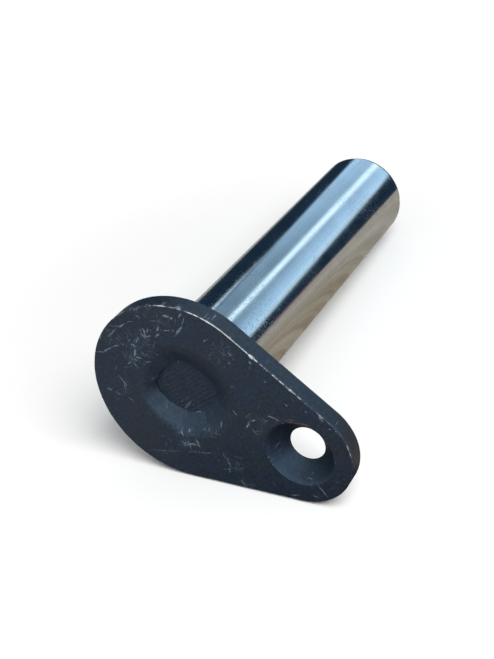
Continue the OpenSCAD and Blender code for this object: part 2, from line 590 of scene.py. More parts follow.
# Marks on the outer face, in mm and degrees: place across and up, slant, half length, half width, strength
SCUFFS = [
    (-30.8, 11.8, 62, 4.7, 0.36, 0.83), (-27.4, 17.2, 51, 3.25, 0.38, 0.83),
    (-24.4, 20.5, 42, 2.46, 0.27, 0.72), (-34.1, 0.9, 29, 2.35, 0.36, 0.99),
    (-31.1, 3.8, 55, 3.14, 0.4, 1.0), (-28.4, 7.0, 42, 2.35, 0.38, 0.99),
    (-35.0, 7.5, -84, 1.12, 0.63, 0.88), (-30.2, 9.0, 20, 1.12, 0.28, 0.5),
    (-25.5, 9.5, 60, 1.57, 0.36, 0.55), (-18.1, 18.9, -62, 2.69, 0.45, 0.99),
    (-18.4, 17.4, -40, 1.9, 0.45, 0.99), (-16.7, 18.1, 40, 1.79, 0.38, 0.99),
    (-17.3, 20.4, -99, 1.68, 0.36, 0.83), (-19.8, 19.4, -20, 1.23, 0.29, 0.66),
    (-16.0, 21.2, 35, 1.01, 0.29, 0.55), (-20.2, 14.4, -102, 2.24, 0.45, 0.94),
    (-21.5, 11.1, -13, 1.57, 0.67, 1.0), (-20.3, 8.4, -93, 2.35, 0.56, 1.0),
    (-20.2, 5.7, -18, 2.13, 0.29, 1.0), (-21.2, 4.9, -18, 1.68, 0.3, 0.88),
    (-18.6, 7.0, 21, 2.13, 0.36, 0.88), (-21.7, 2.9, 63, 1.57, 0.38, 0.83),
    (-19.4, 3.5, -29, 0.9, 0.45, 0.94), (-17.3, 9.7, -59, 1.01, 0.29, 0.77),
    (-16.1, 9.5, 66, 1.57, 0.38, 0.66), (-14.9, 6.5, 16, 2.35, 0.38, 0.55),
    (-23.4, 12.4, 60, 1.34, 0.36, 0.61), (-24.4, 13.6, -75, 1.68, 0.29, 0.55),
    (-12.2, 11.4, -38, 1.34, 0.45, 0.61), (-10.6, 12.6, -13, 1.34, 0.49, 0.66),
    (-23.0, 27.1, 55, 2.35, 0.54, 0.61), (-11.5, 30.2, 6, 1.79, 0.67, 1.0),
    (-9.3, 30.5, 30, 0.9, 0.56, 1.0), (-6.3, 33.3, 81, 2.02, 0.63, 0.66),
    (-4.9, 31.4, -95, 2.69, 0.27, 0.83), (-5.6, 26.7, 72, 3.81, 0.56, 1.0),
    (-13.5, 23.2, -90, 2.02, 0.39, 0.77), (-13.2, 20.4, 60, 1.68, 0.45, 0.88),
    (-10.0, 24.3, 28, 2.13, 0.38, 0.88), (-7.6, 25.6, 20, 0.78, 0.4, 0.77),
    (-15.8, 25.6, 29, 1.79, 0.27, 0.61), (-21.9, 24.4, -5, 2.46, 0.36, 0.55),
    (-24.1, -6.0, -40, 2.24, 0.3, 0.99), (-22.2, -7.5, -34, 1.9, 0.38, 1.0),
    (-21.7, -9.0, -56, 1.68, 0.36, 0.77), (-27.4, -13.9, -5, 1.68, 0.4, 0.99),
    (-23.6, -13.7, 0, 1.79, 0.29, 0.77), (-18.0, -13.4, -6, 2.58, 0.26, 0.61),
    (-26.6, -2.9, 82, 1.9, 0.29, 0.61), (4.8, 28.2, 57, 1.9, 0.45, 0.61),
    (8.9, 28.0, 10, 1.12, 0.36, 0.5), (14.6, 27.4, -30, 1.23, 0.56, 0.66),
    (15.2, 23.8, 15, 1.46, 0.45, 0.55), (11.8, 26.4, 60, 1.34, 0.29, 0.5),
    (4.1, -17.1, -44, 2.35, 0.38, 1.0), (6.3, -14.3, -63, 2.02, 0.45, 1.0),
    (11.8, -10.1, -52, 1.34, 0.49, 0.83), (13.6, -9.6, -70, 1.68, 0.56, 0.88),
    (16.4, -4.2, 76, 2.46, 0.36, 0.88), (17.6, -4.4, -59, 1.79, 0.45, 0.83),
    (21.7, 4.1, -18, 1.68, 0.38, 0.83), (8.2, -20.4, 44, 4.03, 0.38, 1.0),
    (8.3, -20.4, -55, 2.69, 0.4, 1.0), (11.3, -17.9, -53, 2.69, 0.4, 1.0),
    (8.2, -19.9, 17, 4.93, 0.36, 1.0), (6.2, -21.2, 60, 1.57, 0.36, 0.88),
    (-0.6, -29.3, 30, 10.53, 0.22, 0.77), (14.3, -20.7, 30, 9.18, 0.2, 0.68),
    (22.0, -16.9, -60, 2.02, 0.3, 0.55), (24.6, -19.5, -52, 3.81, 0.38, 0.66),
    (25.6, -22.6, -70, 1.79, 0.63, 0.66), (32.1, -25.3, -41, 2.69, 0.29, 0.88),
    (34.0, -26.4, -60, 1.79, 0.29, 0.55), (35.8, 10.2, 7, 3.47, 0.38, 1.0),
    (28.9, 4.6, 48, 2.3, 0.36, 0.7), (27.5, 1.6, 78, 2.2, 0.55, 0.95),
    (30.6, 0.4, -38, 2.4, 0.3, 0.7), (60.5, -10.3, -35, 3.92, 0.26, 1.0),
    (51.8, -18.4, 28, 2.58, 0.49, 0.72), (-14.5, 9.0, 10, 3.58, 0.45, 0.39),
    (33.5, 7.0, 60, 2.91, 0.27, 0.44), (55.5, 17.0, 35, 1.79, 0.3, 0.55),
    (-1.0, -26.0, -70, 2.69, 0.36, 0.39), (64.5, -3.2, 25, 1.57, 0.27, 0.44),
    (59.0, -14.2, 10, 2.46, 0.45, 0.44),
]
# Brown bloom and rubbed rim round the countersink, in the same form
RIM_MARKS = [
    (46.5, 13.9, 12, 4.0, 0.42, 0.9), (41.4, 12.6, 30, 3.2, 0.40, 0.8),
    (37.6, 9.6, 55, 2.6, 0.36, 0.6), (34.9, 3.4, 88, 3.0, 0.32, 0.3),
    (34.9, -2.6, 100, 3.2, 0.40, 0.35), (37.0, -7.9, 125, 2.8, 0.28, 0.3),
    (57.6, 3.6, 80, 2.4, 0.60, 0.4), (53.5, 12.0, -40, 2.2, 0.36, 0.4),
]
# Chips and rubs that run over the outer edge onto the side, in the same form
EDGE_CHIPS = [
    (22.3, 28.0, -35, 1.27, 0.59, 0.8), (29.0, 23.4, -38, 1.02, 0.38, 0.48),
    (38.7, 18.3, -38, 0.94, 0.37, 0.72), (45.9, 19.2, -38, 1.7, 0.34, 0.52),
    (51.6, 19.4, -38, 1.61, 0.68, 0.76), (57.8, 17.4, -50, 1.19, 0.34, 0.48),
    (-8.0, 35.6, 12, 2.21, 0.74, 0.64), (-14.0, 33.6, 24, 1.36, 0.56, 0.48),
    (-19.6, 30.2, 34, 1.02, 0.43, 0.4), (3.5, 35.9, -5, 1.02, 0.43, 0.4),
    (13.0, 33.6, -20, 0.85, 0.34, 0.48), (-34.6, -9.6, -74, 1.53, 0.37, 0.4),
    (-18.4, -31.2, -30, 1.19, 0.34, 0.48), (9.5, -34.6, 10, 1.02, 0.37, 0.72),
    (31.0, -28.6, 15, 1.19, 0.34, 0.48), (61.4, -15.6, 50, 1.7, 0.37, 0.44),
]
# How far noise shakes the marks' outlines
MARK_SHAKE = (1.9 * MM, 0.0, 1.9 * MM)
# Areas that are rubbed all over: place across and up and radius in mm, share of the scratches
RUBBED = [
    (-19.5, 14.0, 9.0, 0.85), (-20.0, 5.5, 7.0, 0.8), (-28.5, 10.0, 9.0, 0.45),
    (-12.0, 27.0, 9.0, 0.6), (-22.0, 27.0, 7.0, 0.55), (7.0, -18.5, 9.0, 0.8),
    (14.0, -7.5, 7.0, 0.55), (26.0, -19.0, 7.0, 0.5), (12.0, 26.0, 8.0, 0.5),
    (30.5, 4.0, 7.0, 0.6), (-24.0, -10.0, 9.0, 0.45), (58.0, 6.0, 10.0, 0.3),
    (33.0, -26.0, 6.0, 0.5), (0.0, -29.0, 10.0, 0.25),
]


def build_marks_group(name, marks):
    """One mask from a list of marks on the outer face."""
    tree, given, result = new_group(
        name, [("Vector", "NodeSocketVector", None)], [("Mask", "NodeSocketFloat")])
    wobble = noise(tree, given["Vector"], 520.0, 4.0, 0.7, "Color")
    offset = add(tree, "ShaderNodeVectorMath", {0: wobble, 1: (0.5, 0.5, 0.5)}, operation="SUBTRACT")
    shaken = add(tree, "ShaderNodeVectorMath",
                 {0: offset.outputs[0], 1: MARK_SHAKE, 2: given["Vector"]},
                 operation="MULTIPLY_ADD").outputs[0]
    total = 0.0
    for across, up, slant, half_length, half_width, strength in marks:
        local = add(tree, "ShaderNodeMapping",
                    {"Vector": shaken, "Location": (across * MM, 0.0, up * MM),
                     "Rotation": (0.0, -math.radians(slant), 0.0),
                     "Scale": (half_length * MM, 1.0, half_width * MM)},
                    vector_type="TEXTURE")
        spot = add(tree, "ShaderNodeTexGradient", {"Vector": local.outputs[0]}, gradient_type="SPHERICAL")
        total = larger(tree, times(tree, spot.outputs["Fac"], strength), total)
    flakes = ramp(tree, noise(tree, given["Vector"], 1250.0, 4.0, 0.7), 0.38, 0.56, 0.12, 1.0)
    kept = times(tree, ramp(tree, total, 0.10, 0.55), flakes)
    tree.links.new(kept, result.inputs["Mask"])


def build_rubbed_group():
    """How many of the scattered scratches show at each place of the outer face."""
    tree, given, result = new_group(
        "rubbed areas", [("Vector", "NodeSocketVector", None)], [("Share", "NodeSocketFloat")])
    parts = split(tree, given["Vector"])
    flat = add(tree, "ShaderNodeCombineXYZ", {"X": parts["X"], "Z": parts["Z"]}).outputs[0]
    total = 0.05
    for across, up, radius, share in RUBBED:
        middle = (across * MM, 0.0, up * MM)
        off = add(tree, "ShaderNodeVectorMath", {0: flat, 1: middle}, operation="DISTANCE").outputs["Value"]
        here = ramp(tree, off, 0.2 * radius * MM, radius * MM, share, 0.0)
        total = larger(tree, here, total)
    tree.links.new(total, result.inputs["Share"])


def new_material(name):
    """A new material: itself, its tree, the pin's own coordinates and its shader node."""
    material = bpy.data.materials.new(name)
    material.use_nodes = True
    tree = material.node_tree
    shader = next(n for n in tree.nodes if n.type == "BSDF_PRINCIPLED")
    laid = object_place(tree)
    own = add(tree, "ShaderNodeMapping",
              {"Vector": laid, "Location": ORIGIN, "Rotation": LAID.to_euler()}, vector_type="TEXTURE")
    return material, tree, own.outputs["Vector"], shader


def raise_surface(tree, shader, height, distance, strength=1.0):
    """Feeds a height into the shader's normal through a bump."""
    bump = add(tree, "ShaderNodeBump", {"Height": height, "Distance": distance, "Strength": strength})
    tree.links.new(bump.outputs["Normal"], shader.inputs["Normal"])


def add_face_marks(tree, place, depth, colour, finish):
    """Rubs, chips and brown bloom on and near the outer face: the colour with them, and what is scraped."""
    front = ramp(tree, depth, 0.9 * MM, 1.5 * MM, 1.0, 0.0)
    near_edge = ramp(tree, depth, 1.6 * MM, 3.2 * MM, 1.0, 0.0)
    share = use_group(tree, "rubbed areas", {"Vector": place})["Share"]
    fine = use_group(tree, "strokes", {"Vector": place, "Cells": 430.0, "Length": 1.7 * MM,
                                       "Width": 0.26 * MM, "Share": share})["Mask"]
    coarse = use_group(tree, "strokes", {"Vector": place, "Cells": 200.0, "Length": 3.4 * MM,
                                         "Width": 0.30 * MM, "Share": share})["Mask"]
    scattered = times(tree, larger(tree, fine, coarse), 0.26)
    cloud = ramp(tree, noise(tree, place, 260.0, 4.0, 0.7), 0.42, 0.70, 0.0, 0.13)
    scattered = larger(tree, scattered, times(tree, cloud, share))
    placed = use_group(tree, "scuffs", {"Vector": place})["Mask"]
    scuffs = times(tree, larger(tree, placed, scattered), front)
    chips = times(tree, use_group(tree, "edge chips", {"Vector": place})["Mask"], near_edge)
    scuffs = times(tree, larger(tree, scuffs, chips), 0.85)
    bloom = times(tree, use_group(tree, "rim marks", {"Vector": place})["Mask"], front)
    colour = blend_colour(tree, scuffs, colour, finish.scuff)
    colour = blend_colour(tree, times(tree, bloom, 0.55), colour, finish.rust)
    return colour, scuffs


def coated_material(name, finish, marked, mottle, side_shade_level=1.0):
    """The dark coating with hairlines and worn edges, and where it is marked, the outer face's marks and
    painted shade on the faces behind that face.

    Gives the material, its tree, the pin's own coordinates, the shader and the surface's height.
    """
    material, tree, place, shader = new_material(name)
    coat = use_group(tree, "coating", {"Vector": place, "Colour": finish.coating,
                                       "Thin Colour": finish.coating_warm, "Mottle": mottle,
                                       "Roughness": 0.46})
    scraped = use_group(tree, "hairlines", {"Vector": place, "Scale": 1.0, "Amount": 0.45})["Mask"]
    edge = add(tree, "ShaderNodeAttribute", attribute_name="edge").outputs["Fac"]
    worn = use_group(tree, "edge wear", {"Vector": place, "Edge": edge, "Amount": 0.0})["Mask"]
    if marked:
        parts = split(tree, place)
        depth = parts["Y"]
        # Painted shade: faces from 0.4 mm to 1.6 mm behind the outer face and deeper, such as the plate's
        # sides, holes and back, are scaled by a level that falls towards the small lobe's end; on the weld
        # the same step slightly lightens the deep dish
        painted_deep_shade = ramp(tree, parts["X"], 34 * MM, 64 * MM, 1.06 * side_shade_level, 0.72 * side_shade_level)
        base = scaled(tree, coat["Colour"], ramp(tree, depth, 0.4 * MM, 1.6 * MM, 1.0, painted_deep_shade))
        colour = blend_colour(tree, scraped, base, finish.scuff)
        colour, scuffs = add_face_marks(tree, place, depth, colour, finish)
        scraped = larger(tree, scraped, scuffs)
    else:
        colour = blend_colour(tree, scraped, coat["Colour"], finish.scuff)
    browned = ramp(tree, noise(tree, place, 75.0, 3.0), 0.54, 0.74, 0.0, 0.8)
    metal = blend_colour(tree, browned, finish.bare, finish.rust)
    tree.links.new(blend_colour(tree, worn, colour, metal), shader.inputs["Base Color"])
    tree.links.new(times(tree, worn, 0.2), shader.inputs["Metallic"])
    rough = math_node(tree, "MULTIPLY_ADD", scraped, 0.1, coat["Roughness"])
    tree.links.new(rough, shader.inputs["Roughness"])
    shader.inputs["Specular IOR Level"].default_value = 0.4
    height = math_node(tree, "MULTIPLY_ADD", scraped, -0.5, coat["Height"])
    return material, tree, place, shader, height


def plate_material(finish):
    """Coating on the flag plate."""
    # 0.72 is the level of painted shade on the plate's sides, holes and back
    material, tree, place, shader, height = coated_material("coated plate", finish, True, 0.75, 0.72)
    raise_surface(tree, shader, height, 0.05 * MM, 0.8)
    return material


def weld_material(finish):
    """Coating on the smooth weld."""
    material, tree, place, shader, height = coated_material("coated weld", finish, True, 0.6)
    raise_surface(tree, shader, height, 0.05 * MM, 0.8)
    return material


def sawn_end_material(finish):
    """Coating over the saw lines of the shaft's end face."""
    material, tree, place, shader, height = coated_material("coated end face", finish, False, 0.4)
    along = stretched(tree, place, (1.0, 1.0, 1.0), (0.0, math.radians(55), 0.0))
    lines = add(tree, "ShaderNodeTexWave",
                {"Vector": along, "Scale": 195.0, "Distortion": 1.4, "Detail": 2.0,
                 "Detail Scale": 1.2},
                wave_type="BANDS", bands_direction="Z")
    faded = ramp(tree, noise(tree, place, 130.0, 2.0), 0.3, 0.6, 0.35, 1.0)
    grooves = times(tree, lines.outputs["Fac"], faded)
    colour = shader.inputs["Base Color"].links[0].from_socket
    dark = scaled(tree, colour, 0.95)
    pale = scaled(tree, colour, 1.24)
    tree.links.new(blend_colour(tree, grooves, dark, pale), shader.inputs["Base Color"])
    total = math_node(tree, "MULTIPLY_ADD", grooves, 1.8, height)
    raise_surface(tree, shader, total, 0.08 * MM, 0.7)
    return material


def steel_material(finish, taper):
    """Ground steel with fine lines round it, faint lines and scores along it, and a rougher turned taper
    whose colour is darkened as a painted dark reflection.
    """
    material, tree, place, shader = new_material("ground steel")
    rounds = noise(tree, stretched(tree, place, (60.0, 5200.0, 60.0)), 1.0, 3.0, 0.6)
    alongs = noise(tree, stretched(tree, place, (1300.0, 24.0, 1300.0)), 1.0, 3.0, 0.6)
    scores = noise(tree, stretched(tree, place, (2600.0, 9.0, 2600.0)), 1.0, 1.0, 0.5)
    stains = noise(tree, place, 70.0, 4.0, 0.6)
    cloudy = ramp(tree, noise(tree, place, 34.0, 3.0, 0.6), 0.42, 0.62)
    specks = ramp(tree, noise(tree, place, 1300.0, 3.0, 0.7), 0.48, 0.66, 0.0, 0.23)
    specks = times(tree, specks, math_node(tree, "MULTIPLY_ADD", cloudy, 0.8, 0.2))
    depth = split(tree, place)["Y"]
    taper_start = REACH - taper
    on_taper = ramp(tree, depth, taper_start - 0.1 * MM, taper_start + 0.2 * MM)
    turned = times(tree, on_taper, ramp(tree, depth, REACH - 0.3 * MM, REACH - 0.12 * MM, 1.0, 0.0))

    tone = minus(tree, ramp(tree, stains, 0.3, 0.7, 0.94, 1.04), specks)
    tone = times(tree, tone, ramp(tree, alongs, 0.3, 0.7, 0.96, 1.04))
    # Painted dark reflection: the taper's colour drops to 0.15 of the steel's, standing in for the dark
    # surround that it mirrors; its greater roughness is real
    tone = times(tree, tone, math_node(tree, "MULTIPLY_ADD", turned, -0.85, 1.0))
    colour = add(tree, "ShaderNodeVectorMath", {0: finish.steel, 1: tone}, operation="MULTIPLY")
    tree.links.new(colour.outputs[0], shader.inputs["Base Color"])
    shader.inputs["Metallic"].default_value = 1.0
    rough = plus(tree, ramp(tree, stains, 0.25, 0.75, 0.10, 0.15), times(tree, specks, 0.8))
    rough = math_node(tree, "MULTIPLY_ADD", turned, 0.5, rough)
    tree.links.new(rough, shader.inputs["Roughness"])
    height = math_node(tree, "MULTIPLY_ADD", rounds, 1.0, times(tree, alongs, 1.4))
    height = minus(tree, height, times(tree, ramp(tree, scores, 0.66, 0.74), 1.6))
    raise_surface(tree, shader, height, 0.0012 * MM)
    return material


# Pieces

# Radius of the innermost ring on the shaft's sawn end face
INNER_DISC_R = 6.0 * MM
# The shaft's faces up to this far past its end face have the coating
FACE_SLACK = 0.1 * MM
# How far the seat stops short of the plate's inner face
SEAT_EASE = 0.02 * MM
# How much wider than the seat the plate's hole is at the inner face
HOLE_EASE = 0.05 * MM
# Size of the small chamfer where the bolt's hole leaves the inner face
BOLT_CHAMFER = 0.15 * MM
# Height of the crevice between the weld's toe and the shaft's end face
TOE_CREVICE = 0.15 * MM
# Seed of the uneven wear along the plate's outer edge
WEAR_SEED = 11
# Angle of the sine arc that the dish's depth follows from the weld's lip to its toe
DISH_ARC = 0.34 * math.pi


class FLAGPIN_OT_shaft(bpy.types.Operator):
    """Adds the ground shaft with its softened lead-in taper and coated end face"""
    bl_idname = "flagpin.shaft"
    bl_label = "Ground shaft"

    def execute(self, context):
        shape = context.scene.flag_pin_shape
        finish = context.scene.flag_pin_finish
        inner = SHAFT_R - shape.lead_drop
        start = (SHAFT_R, PLATE_T)
        corner = (SHAFT_R, REACH - shape.lead_length)
        rim = (inner, REACH)
        profile = [(INNER_DISC_R, END_RECESS), (SEAT_R, END_RECESS), (SEAT_R, PLATE_T - SEAT_EASE), start]
        ground_length = corner[1] - PLATE_T
        profile += [(SHAFT_R, PLATE_T + ground_length * i / SHAFT_STEPS) for i in range(1, SHAFT_STEPS)]
        profile += rounded_corner(start, corner, rim, shape.lead_round)
        profile += rounded_corner(corner, rim, (0, REACH), shape.lead_round)
        profile += [(inner * 0.9, REACH), (inner * 0.4, REACH)]
        shaft = RingMesh()
        rings = [shaft.circle(ON_SHAFT, even(radius), even(depth)) for radius, depth in profile]
        shaft.cap(rings[0], END_RECESS)
        shaft.sleeve(rings)
        shaft.cap(rings[-1], REACH)
        for face in shaft.work.faces:
            face.material_index = int(face.calc_center_median().y < END_RECESS + FACE_SLACK)
        piece = shaft.to_piece("ground_shaft")
        piece.data.materials.append(steel_material(finish, shape.lead_length))
        piece.data.materials.append(sawn_end_material(finish))
        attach(piece, "root")
        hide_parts("shaft")
        return {"FINISHED"}


# Deeper nicks in the worn upper edge: place along X and extra radius, both in mm
NICKS = [(22.3, 0.7), (38.6, 0.3), (51.4, 0.4), (29.0, 0.2), (4.0, 0.15), (-18.0, 0.15)]
NICK_WIDTH = 0.8


def edge_radius(shape, x, z, draw):
    """Radius of the worn outer edge at a point of the outline, with nicks along its upper side."""
    radius = shape.edge_round * (1.0 + 0.22 * draw.uniform(-1, 1))
    if z > 0:
        for place, size in NICKS:
            radius += size * MM * math.exp(-((x / MM - place) / NICK_WIDTH) ** 2)
    return radius


def edge_wear_share(x, z):
    """How bare the outer edge is at a point of the outline: most on its upper side near the shaft."""
    along = x / MM
    if z > 0:
        return 0.53 + 0.31 * math.exp(-((along - 9) / 16) ** 2) + 0.04 * math.exp(-((along - 48) / 14) ** 2)
    return 0.40


def add_plate_side(plate, shape):
    """The worn outer edge, the side and the inner edge: the ring on the outer face and on the inner."""
    draw = random.Random(WEAR_SEED)
    outline = teardrop(shape.skin)
    inner = teardrop(shape.skin + MM)
    normals = [((x - u) / MM, (z - w) / MM) for (x, z), (u, w) in zip(outline, inner)]
    radii = [edge_radius(shape, x, z, draw) for x, z in outline]
    shares = [edge_wear_share(x, z) for x, z in outline]

    def same(value):
        return [value] * len(outline)

    def ring(insets, depths, wears=same(0.0)):
        places = [(x - nx * inset, depth, z - nz * inset)
                  for (x, z), (nx, nz), inset, depth in zip(outline, normals, insets, depths)]
        return plate.ring(places, wears)

    rings = [ring([radius + SUPPORT for radius in radii], same(0.0))]
    for k in range(ROUND_STEPS + 1):
        angle = math.pi / 2 * k / ROUND_STEPS
        bare = 1.0 if 0 < k < ROUND_STEPS else 0.25
        rings.append(ring([radius * (1 - math.sin(angle)) for radius in radii],
                          [radius * (1 - math.cos(angle)) for radius in radii],
                          [share * bare for share in shares]))
    rings.append(ring(same(0.0), [radius + SUPPORT for radius in radii]))
    back = shape.back_round
    for depth in (PLATE_T * 0.35 + 0.5 * MM, PLATE_T * 0.65 + 0.5 * MM, PLATE_T - back - SUPPORT):
        rings.append(ring(same(0.0), same(depth)))
    for k in range(ROUND_STEPS + 1):
        angle = math.pi / 2 * k / ROUND_STEPS
        rings.append(ring(same(back * (1 - math.cos(angle))),
                          same(PLATE_T - back * (1 - math.sin(angle))),
                          [0.4 * share for share in shares]))
    rings.append(ring(same(back + SUPPORT), same(PLATE_T)))
    plate.sleeve(rings)
    return rings[0], rings[-1]


def add_shaft_hole(plate, shape):
    """The hole that opens into the weld's lip: its ring on the outer face and on the inner."""
    lips = [lip_radius(shape, turn) for turn in TURNS]
    rings = [plate.circle(ON_SHAFT, [lip + SUPPORT for lip in lips], even(0.0)),
             plate.circle(ON_SHAFT, lips, even(0.0)),
             plate.circle(ON_SHAFT, even(SEAT_R), even(WALL_TOP)),
             plate.circle(ON_SHAFT, even(SEAT_R + HOLE_EASE), even(PLATE_T))]
    plate.sleeve(rings)
    return rings[0], rings[-1]


def add_bolt_hole(plate, shape):
    """The countersunk hole, bare along its mouth: its ring on the outer face and on the inner."""
    sink_r = shape.countersink_r
    cone_end = (BOLT_R, PLATE_T - BOLT_LAND)
    wears = [0.38 + 0.08 * bump_at(turn, -130, 38) + 0.15 * bump_at(turn, 100, 40) for turn in TURNS]
    rings = [plate.circle(ON_BOLT, even(sink_r + 2 * SUPPORT), even(0.0))]
    mouth_arc = rounded_corner((sink_r + 2 * MM, 0.0), (sink_r, 0.0), cone_end, shape.mouth_round)
    for k, (radius, depth) in enumerate(mouth_arc):
        bare = 1.0 if 0 < k < ROUND_STEPS else 0.4
        rings.append(plate.circle(ON_BOLT, even(radius), even(depth), [bare * wear for wear in wears]))
    profile = [(sink_r + (BOLT_R - sink_r) * share, cone_end[1] * share) for share in (0.12, 0.5, 0.97)]
    profile += [cone_end, (BOLT_R, PLATE_T - BOLT_CHAMFER), (BOLT_R + BOLT_CHAMFER, PLATE_T)]
    rings += [plate.circle(ON_BOLT, even(radius), even(depth)) for radius, depth in profile]
    plate.sleeve(rings)
    return rings[0], rings[-1]


class FLAGPIN_OT_plate(bpy.types.Operator):
    """Adds the teardrop flag plate with worn edges, countersunk hole and the weld's lip"""
    bl_idname = "flagpin.plate"
    bl_label = "Flag plate"

    def execute(self, context):
        shape = context.scene.flag_pin_shape
        plate = RingMesh()
        side_front, side_back = add_plate_side(plate, shape)
        shaft_front, shaft_back = add_shaft_hole(plate, shape)
        bolt_front, bolt_back = add_bolt_hole(plate, shape)
        plate.fill([side_front, shaft_front, bolt_front])
        plate.fill([side_back, shaft_back, bolt_back])
        piece = plate.to_piece("flag_plate_body")
        piece.data.materials.append(plate_material(context.scene.flag_pin_finish))
        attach(piece, "root")
        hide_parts("flag_plate")
        return {"FINISHED"}


class FLAGPIN_OT_weld(bpy.types.Operator):
    """Adds the dished weld between the plate's face and the shaft's end face"""
    bl_idname = "flagpin.weld"
    bl_label = "Weld"

    def execute(self, context):
        shape = context.scene.flag_pin_shape
        lips = [lip_radius(shape, turn) for turn in TURNS]
        toes = [toe_radius(shape, turn) for turn in TURNS]
        deepest = [END_RECESS - (shape.toe_step * unfused(turn) + TOE_CREVICE) for turn in TURNS]
        # Painted highlight: along the toe's rim on the lower right the wear mask lays pale bare metal where
        # the rim catches the light
        toe_painted_highlight = [0.70 * bump_at(turn, -35, 45) for turn in TURNS]
        weld = RingMesh()
        rings = []
        for row in range(DISH_STEPS + 1):
            share = row / DISH_STEPS
            fall = (math.sin(DISH_ARC * share) / math.sin(DISH_ARC)) ** 2
            ridges = math.exp(-((share - 0.09) / 0.05) ** 2) + 0.7 * math.exp(-((share - 0.4) / 0.06) ** 2)
            radii = [lip + (toe - lip) * share for lip, toe in zip(lips, toes)]
            depths = [deep * fall - shape.lip_ridge * ridges * bump_at(turn, 105, 40)
                      for turn, deep in zip(TURNS, deepest)]
            wears = toe_painted_highlight if row == DISH_STEPS else even(0.0)
            rings.append(weld.circle(ON_SHAFT, radii, depths, wears))
        under_toe = [toe + 0.5 * MM * unfused(turn) for turn, toe in zip(TURNS, toes)]
        rings.append(weld.circle(ON_SHAFT, under_toe, even(END_RECESS)))
        rings.append(weld.circle(ON_SHAFT, even(SEAT_R), even(END_RECESS)))
        rings.append(weld.circle(ON_SHAFT, even(SEAT_R), even(WALL_TOP)))
        weld.sleeve(rings + rings[:1])
        piece = weld.to_piece("weld_ring")
        piece.data.materials.append(weld_material(context.scene.flag_pin_finish))
        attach(piece, "root")
        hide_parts("weld")
        return {"FINISHED"}


# Studio

# The photograph's viewpoint, in metres and degrees, and its lens in mm on a 36 mm sensor
CAMERA_PLACE = Vector((0.17032, -0.34201, 0.27538))
CAMERA_AZIMUTH = 31.149
CAMERA_ELEVATION = 34.628
CAMERA_ROLL = -9.509
CAMERA_LENS = 59.666
SENSOR_WIDTH = 36.0
# Half the width of the floor and of the bench card, and the card's height above the floor
FLOOR_HALF = 4.0
CARD_HEIGHT = 0.3 * MM
SKY_RADIUS = 0.9 * FLOOR_HALF
# Place on the floor that shows through the bolt's hole, where a painted pool of light lifts the plate's
# shadow
HOLE_LIGHT_SPOT = (0.020, -0.063, 0.0)
# Distance of the mirrored bench's far edge, and where that edge bends away on the right
BENCH_EDGE = 0.178
BENCH_BEND = 0.12
# The lamp's place, the place that it points at, its width and its colour
KEY_PLACE = Vector((0.52, -0.31, 0.86))
KEY_AIM = Vector((0.0, -0.03, 0.02))
KEY_WIDTH = 0.75
KEY_COLOUR = (1.0, 0.99, 0.97)
AMBIENT_COLOUR = (0.96, 0.98, 1.0)
WHITE = (1.0, 1.0, 1.0)


def add_camera():
    """The camera at the photograph's viewing angle."""
    data = bpy.data.cameras.new("camera")
    data.lens = CAMERA_LENS
    data.sensor_width = SENSOR_WIDTH
    data.clip_start = 0.01
    camera = link_object("camera", data)
    heading = Matrix.Rotation(math.radians(CAMERA_AZIMUTH), 4, "Z")
    pitch = Matrix.Rotation(math.radians(90 - CAMERA_ELEVATION), 4, "X")
    roll = Matrix.Rotation(math.radians(CAMERA_ROLL), 4, "Z")
    camera.matrix_world = Matrix.Translation(CAMERA_PLACE) @ heading @ pitch @ roll
    bpy.context.scene.camera = camera


def add_square(name, half, height):
    """A level square about the origin."""
    mesh = bpy.data.meshes.new(name)
    corners = [(x * half, y * half, height) for x, y in ((-1, -1), (1, -1), (1, 1), (-1, 1))]
    mesh.from_pydata(corners, [], [(0, 1, 2, 3)])
    return link_object(name, mesh)


def seen_flags(tree):
    """1 for rays that look at the background: from the camera, off a mirror or through glass."""
    path = tree.nodes.new("ShaderNodeLightPath")
    seen = larger(tree, path.outputs["Is Camera Ray"], path.outputs["Is Glossy Ray"])
    return larger(tree, seen, path.outputs["Is Transmission Ray"])


